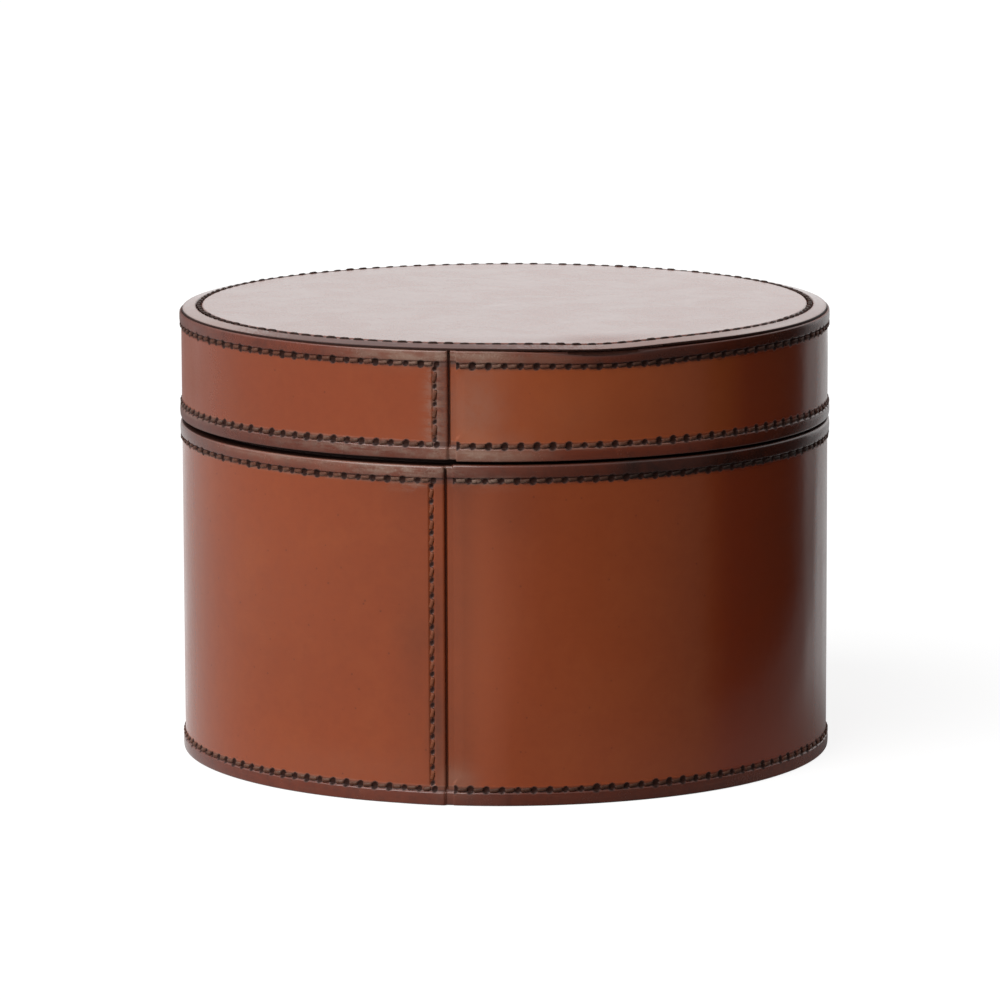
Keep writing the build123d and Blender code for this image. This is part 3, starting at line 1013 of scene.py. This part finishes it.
lid_low = arc_points(MARGIN - 0.8, LID_EDGE + 0.8, 0.8, -90, 0, 7)[:-1]
lid_low += margin_points(LID_EDGE + 0.8, LID_ROW - 1.25, 0.1) + row_points(LID_ROW, True)
lid_high = row_points(SHOULDER_ROW, False)
lid_high += margin_points(SHOULDER_ROW + 1.25, SHOULDER - 0.4, 0.08)
lid_high += arc_points(MARGIN - 0.35, SHOULDER - 0.35, 0.35, 0, 90, 5)[1:]
lid_inner = [(99.95, SHOULDER, 1.0), (99.8, SHOULDER - 0.08, 1.0), (99.4, SHOULDER - 0.2, 0.15)]
lid_inner += [(WRAP_IN, SHOULDER - 0.05, 0.0), (WRAP_IN, 120.0)]
lid_inner += [(r, LID_EDGE + 1.6) for r in (WRAP_IN, 97.0, 95.8)]
lid_inner += arc_points(96.2, LID_EDGE + 0.4, 0.4, 180, 270, 4)
lid_inner += [(97.6, LID_EDGE), (98.9, LID_EDGE)]
add_wrap("lid_wrap_dressed", "lid", "lid_side_wrap", LID, lid_low, lid_high, lid_inner, 9)

row_thread("box", "body_rim_thread", BODY, "high", 0.2, 101)
row_thread("box", "body_foot_thread", BODY, "low", 0.25, 102)
seam_thread("box", "body_seam_thread", BODY, 0.0, 0.75, 103)
row_thread("lid", "lid_rim_thread", LID, "low", 0.15, 104)
row_thread("lid", "lid_shoulder_thread", LID, "high", 0.2, 105)
seam_thread("lid", "lid_seam_thread", LID, 0.1, 0.1, 106)


# ---- discs
def disc(name, body, node, ring, count, radius, face_z, back_z, depth, seed):
    """A stitched disc. Its face looks up where face_z is above back_z, and down otherwise."""
    up = 1 if face_z > back_z else -1
    sizes = np.random.default_rng(seed).uniform(0.8, 1.15, count + 1)
    pitch = TURN / count
    fine = count * FINE
    # the radius of the rolled edge, the slope of the border, and the depth of the holes
    e, slope, hole_depth = (0.28, 0.18, 0.3) if up > 0 else (0.5, 0.0, 0.8)
    edge_z = face_z - slope * (radius - e - ring)
    rolled = [
        (radius - e + e * math.sin(a), edge_z - up * (e - e * math.cos(a)), fine)
        for a in np.radians([90, 60, 30, 0])
    ]
    rings = [(0, back_z, 0), (50, back_z, 100), (94, back_z, 400), (radius, back_z, fine)]
    rings += [(radius, back_z * 0.6 + rolled[0][1] * 0.4, fine)] + rolled
    border = np.linspace(radius - e, ring + 1.3, 9)[1:]
    across = np.linspace(ring + 1.1, ring - 1.5, 14)
    for r in np.concatenate([border, across]):
        rings.append((r, face_z - slope * max(r - ring, 0), fine))
    inner = (
        (ring - 2.8, 500), (ring - 6, 500), (84, 400), (78, 400), (70, 300), (62, 300), (54, 200),
        (44, 200), (34, 100), (24, 100), (14, 50), (6, 25), (0, 0),
    )
    rings += [(r, face_z, n) for r, n in inner]
    sag = waves(seed + 1, 0.05, 1, 4)

    def is_face(r, z):
        return abs(z - back_z) > 1e-6 and r < radius - e + 1e-6

    def stitching(t, r):
        """1 in the channel, and 1 in the holes."""
        cell = np.round(t / pitch)
        near = (t - cell * pitch) * ring / PANEL
        size = sizes[np.clip(cell, 0, count).astype(int)]
        d = r - ring
        hole = np.exp(-(((near / (0.62 * size)) ** 2 + (d / (0.95 * size)) ** 2) ** 2))
        return 1 - rise(abs(d), 0.75, 0.35) + 0 * t, hole

    def wobble(t, r, z):
        sunk = front_dip(t) * rise(r, 84, 10) if up > 0 else 0 * t
        if not is_face(r, z):
            return r, z - sunk * (abs(z - back_z) > 1e-6)
        channel, hole = stitching(t, r)
        relief = 0.07 * rise((radius - e - r) / 3.0) * (r > ring) * (1 - channel)
        relief = relief - (depth * channel + hole_depth * hole)
        if up < 0:
            return r, z - relief
        relief = relief + 0.1 * rise((ring - 1.0 - r) / 14.0)
        return r, z - sunk + relief + sag(t) * (r / radius) * rise((ring - r) / 6.0)

    def masks(t, r, z):
        out = np.zeros((t.size, len(MASKS)))
        channel, hole = stitching(t, r)
        out[:, BURNISH] = rise(r - ring, -0.5, 0.9)
        if not is_face(r, z):
            out[:, DARK] = 1.0
            return out
        # painted shade in the ring's channel, its walls and holes; the rim edge is darker with dye
        wall = 1 - rise(abs(r - ring), 1.0, 0.5)
        edge = 0.35 * rise(r - radius, -0.9, 0.6)
        out[:, DARK] = most(0.55 * channel, 0.55 * wall, hole, edge)
        if up > 0:
            # degrees from the front
            a = (np.degrees(t / PANEL) + 180) % 360 - 180
            out[:, RED] = rise(a, -60, 22) * rise((22 - a) / 30)
            # painted shade: the border is darker towards the front
            out[:, PAINTED_SHADE] = 0.5 * rise(r - ring) * out[:, RED]
            # painted reflection: the border is lighter towards the left and right sides
            sides = 0.4 * bell(a, -68, 22) + 0.32 * bell(a, 42, 30)
            out[:, PALE] = rise(r - ring - 0.6) * sides
        return out

    shell = turn_rings(rings if up > 0 else rings[::-1], wobble, masks)
    shell.build(name, body, node, "disc_leather", top_leather, dye_and_shade, border=border_leather)


TOP_COUNT = round(2 * math.pi * TOP_RING / HOLE_STEP)
BASE_COUNT = round(2 * math.pi * BASE_RING / HOLE_STEP)
disc(
    "top_disc_dressed", "lid", "lid_top_leather",
    TOP_RING, TOP_COUNT, TOP_R, LID_TOP, SHOULDER, 0.6, 21,
)
disc("base_disc_dressed", "box", "base_leather", BASE_RING, BASE_COUNT, BASE_R, 0.0, 1.8, 1.3, 23)
ring_thread("lid", "lid_top_thread", TOP_RING, TOP_COUNT, LID_TOP - 0.6, 1, 107)
ring_thread("box", "base_ring_thread", BASE_RING, BASE_COUNT, 1.35, -1, 108)


# ---- collar cover and linings
# heights are from the collar's top at first
cover = [(93.95, -21.0), (94.3, -21.0), (94.55, -20.75)]
cover += [(94.6, z) for z in (-20, -16, -11, -8, -7, -5.5, -4, -0.1)]
cover += arc_points(93.9, 0.0, 0.7, 0, 90, 7)[1:]
cover += [(93.2, 0.7)] + arc_points(92.3, 0.0, 0.7, 90, 180, 7)
cover += [(91.6, -3.0), (91.6, -5.5), (91.75, -5.9), (92.2, -5.95), (92.25, -5.7), (92.25, -0.1)]
cover += [(92.4, 0.05), (93.8, 0.05), (93.95, -0.1)]
cover = [(r, COLLAR_TOP + z) for r, z in cover]
# painted shade: the cover is darkened below and just above the body's rim height, where it shows in
# the gap between lid and body
lathe(
    "collar_cover_dressed", "box", "collar_cover", side_leather, cover, 480,
    dark=lambda r, z: 0.85 * (r > 94) * (1 - rise(z - COLLAR_TOP, -7.2, 2.5)),
)

WALL_TOP = COLLAR_TOP - 6.0
wall = [(92.25, 4.8), (92.25, WALL_TOP), (91.75, WALL_TOP)]
wall += [(91.6, z) for z in (WALL_TOP - 0.15, WALL_TOP - 1, *np.linspace(100, 8, 14), 4.8)]
lathe("wall_lining_dressed", "box", "body_wall_lining", lining, wall)

lid_wall = [(95.75, LID_EDGE + 0.7), (95.75, CEILING), (95.1, CEILING)]
lid_wall += [(95.1, z) for z in np.linspace(129, 105, 5)]
lid_wall += [(95.1, LID_EDGE + 0.9), (95.3, LID_EDGE + 0.55), (95.6, LID_EDGE + 0.5)]
lathe("lid_wall_lining_dressed", "lid", "lid_wall_lining", lining, lid_wall)


def lining_disc(name, body, node, radius, face_z, back_z, seed):
    """A soft disc that is puffed and uneven on its face."""
    up = 1 if face_z > back_z else -1
    rings = [(0, back_z, 0), (60, back_z, 120), (radius, back_z, 360)]
    rings += [(radius, face_z - up * 0.25, 360), (radius - 0.1, face_z - up * 0.08, 360)]
    inner = (
        (radius - 0.3, 360), (radius - 2, 360), (84, 360), (74, 240), (62, 240), (50, 120),
        (36, 120), (22, 60), (10, 30), (0, 0),
    )
    rings += [(r, face_z, n) for r, n in inner]
    line = waves(seed, 0.12, 1, 5)

    def wobble(t, r, z):
        puff = 0.15 * rise((radius - r) / 12.0) + line(t) * rise((radius - 2 - r) / 20) * r / radius
        return r, z + (up * np.abs(puff) if abs(z - face_z) < 1e-6 else 0)

    shell = turn_rings(rings if up > 0 else rings[::-1], wobble)
    shell.build(name, body, node, "lining", lining)


lining_disc("floor_lining_dressed", "box", "body_floor_lining", 91.55, 5.45, 4.8, 41)
lining_disc("ceiling_lining_dressed", "lid", "lid_top_lining", 95.05, CEILING - 0.65, CEILING, 43)


# ---- floor, light and camera
def make_floor():
    """White to the camera. On the right the object's side mirrors it, and takes its light."""
    m = Nodes(bpy.data.materials.new("pale_floor"), "AddShader")
    paper = m.noise(m.coords(), 3.0, 2.0, 0.5)
    pale = m.mix(m.ramp(paper, 0.3, 0.7), (0.23, 0.23, 0.23), (0.24, 0.24, 0.24))
    camera, through, glossy, diffuse = m.rays("Camera", "Transmission", "Glossy", "Diffuse")
    where = m.add("SeparateXYZ", {0: m.coords()}).outputs
    across = m.math("MULTIPLY_ADD", where["Y"], -0.5, where["X"])
    near = m.times(
        m.ramp(across, 0.15, 0.2, 1.0, 0.06), m.ramp(where["Y"], -0.04, 0.13, 0.08, 0.44)
    )
    away = m.add("VectorMath", {0: m.coords()}, operation="LENGTH").outputs["Value"]
    bounce = m.times(m.ramp(away, 0.112, 0.145, 0.34, 0.0), m.ramp(where["X"], 0.045, 0.1))
    beside = m.plus(m.times(glossy, near), m.times(diffuse, bounce))
    strength = m.plus(m.times(m.math("MAXIMUM", camera, through), 0.87), beside)
    glow = m.add("Emission", {"Color": (1.0, 1.0, 1.0), "Strength": strength})
    m.put(m.shader.inputs[0], m.add("BsdfDiffuse", {"Color": pale}).outputs[0])
    m.put(m.shader.inputs[1], glow.outputs[0])

    def sheet(name, x0, x1, y0, y1, z, n, mirrored):
        x, y = np.meshgrid(np.linspace(x0, x1, n + 1), np.linspace(y0, y1, n + 1))
        if mirrored:
            x = x * (1 + 2 * y)    # wider away from the front
        verts = np.stack([x, y, 0 * x + z], -1).reshape(-1, 3)
        mesh = bpy.data.meshes.new(name)
        mesh.from_pydata(verts.tolist(), [], grid_faces(np.arange(x.size).reshape(x.shape)))
        mesh.materials.append(m.owner)
        piece = add_object(name, mesh)
        piece.visible_glossy = mirrored

    sheet("floor", -12, 12, -12, 12, -0.00014, 24, False)
    # the table beside the object, which its glossy side mirrors
    sheet("table_top", 0.0, 0.25, -0.3, 0.9, -0.0001, 8, True)


def make_world():
    """White for the camera; softer and darker to the right of the front for reflections."""
    world = bpy.data.worlds.new("studio")
    bpy.context.scene.world = world
    m = Nodes(world, "MixShader", "OutputWorld")
    coords = m.add("TexCoord").outputs["Generated"]
    where = m.add("SeparateXYZ", {0: coords}).outputs
    # azimuth from the front, positive to the right, as 0 to 1 from -180 to 180 degrees
    azimuth = m.math("ARCTAN2", where["X"], m.times(where["Y"], -1.0))
    turn = m.math("MULTIPLY_ADD", azimuth, 1 / (2 * math.pi), 0.5)
    band = m.add("ValToRGB", {0: turn})
    stops = [
        (-180, 1.0), (-166, 0.86), (-152, 0.66), (-110, 0.58), (-70, 0.62), (-40, 0.6), (-8, 0.52),
        (3, 0.34), (14, 0.2), (30, 0.14), (60, 0.14), (73, 0.15), (78, 0.015), (125, 0.015),
        (131, 0.07), (138, 0.42), (154, 0.66), (166, 0.92), (180, 1.0),
    ]
    elements = band.color_ramp.elements
    while len(elements) < len(stops):
        elements.new(0.5)
    for element, (angle, value) in zip(elements, stops):
        element.position = (angle + 180) / 360
        element.color = (value, value, value, 1)
    # overhead it is bright all round
    above = m.ramp(where["Z"], 0.1, 0.55)
    overhead = m.add("Mix", {0: above, 2: band.outputs[0], 3: 0.9}).outputs[0]

    camera, through, glossy = m.rays("Camera", "Transmission", "Glossy")
    mirror = m.add("Background", {"Color": overhead})
    backdrop = m.add("Background", {"Color": (1.0, 1.0, 1.0)})
    ambient = m.add("Background", {"Color": (1.0, 0.985, 0.97), "Strength": 0.1})
    lit = m.add("MixShader", {0: glossy, 1: ambient.outputs[0], 2: mirror.outputs[0]})
    seen = m.math("MAXIMUM", camera, through)
    for socket, value in zip(m.shader.inputs, (seen, lit.outputs[0], backdrop.outputs[0])):
        m.put(socket, value)


def sun(name, azimuth, elevation, angle, strength):
    """Azimuth from the front, positive to the right, in degrees."""
    light = bpy.data.lights.new(name, "SUN")
    light.energy = strength
    light.angle = math.radians(angle)
    lamp = add_object(name, light)
    lamp.rotation_euler = (math.radians(90 - elevation), 0, math.radians(azimuth))


make_floor()
make_world()
sun("key", -41, 38, 55, 3.28)
sun("side", -100, 30, 50, 0.5)
sun("rim", 146, 20, 50, 0.3)

camera = bpy.data.cameras.new("camera")
camera.sensor_width = 36.0
camera.lens = 234.5
camera.clip_end = 100.0
eye = add_object("camera", camera)
eye.location = (0.0, -2.0, 0.40127)
YAW, PITCH_DOWN, ROLL = 0.00079, 0.16117, -0.0035
turns = ((YAW, "Z"), (math.pi / 2 - PITCH_DOWN, "X"), (ROLL, "Z"))
yaw, tilt, roll = (Matrix.Rotation(angle, 3, axis) for angle, axis in turns)
eye.rotation_euler = (yaw @ tilt @ roll).to_euler()
bpy.context.scene.camera = eye
bpy.context.scene.view_settings.view_transform = "Standard"
